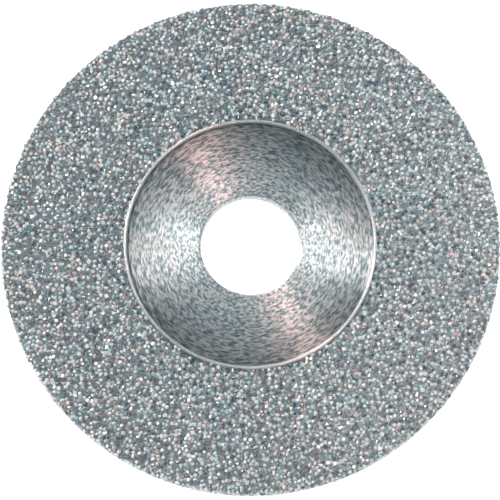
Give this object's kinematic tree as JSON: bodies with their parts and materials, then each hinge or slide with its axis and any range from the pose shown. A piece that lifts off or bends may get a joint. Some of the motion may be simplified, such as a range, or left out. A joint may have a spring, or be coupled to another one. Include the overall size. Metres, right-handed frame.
{
  "type": "diamond grinding wheel",
  "caption": "Flat round grinding wheel with a diamond-coated annular face, a bare dished steel centre and a plain bore that clamps on a spindle.",
  "frame": {"origin": "centre of the bore on the flat back face", "axes": "+Z along the spindle axis, out of the abrasive face; the wheel is the same all round, so +X is any radius"},
  "size_m": [0.1, 0.1, 0.006],
  "materials": {
    "turned_steel": "lathe-turned, fine concentric marks",
    "plated_nickel": "satin electroplated nickel, nodular",
    "diamond_grit": "coarse sparkling crystals in one layer"
  },
  "bodies": {
    "root": {"core_body": "turned_steel", "nickel_bond": "plated_nickel", "face_grit": "diamond_grit", "edge_grit": "diamond_grit"}
  },
  "joints": []
}
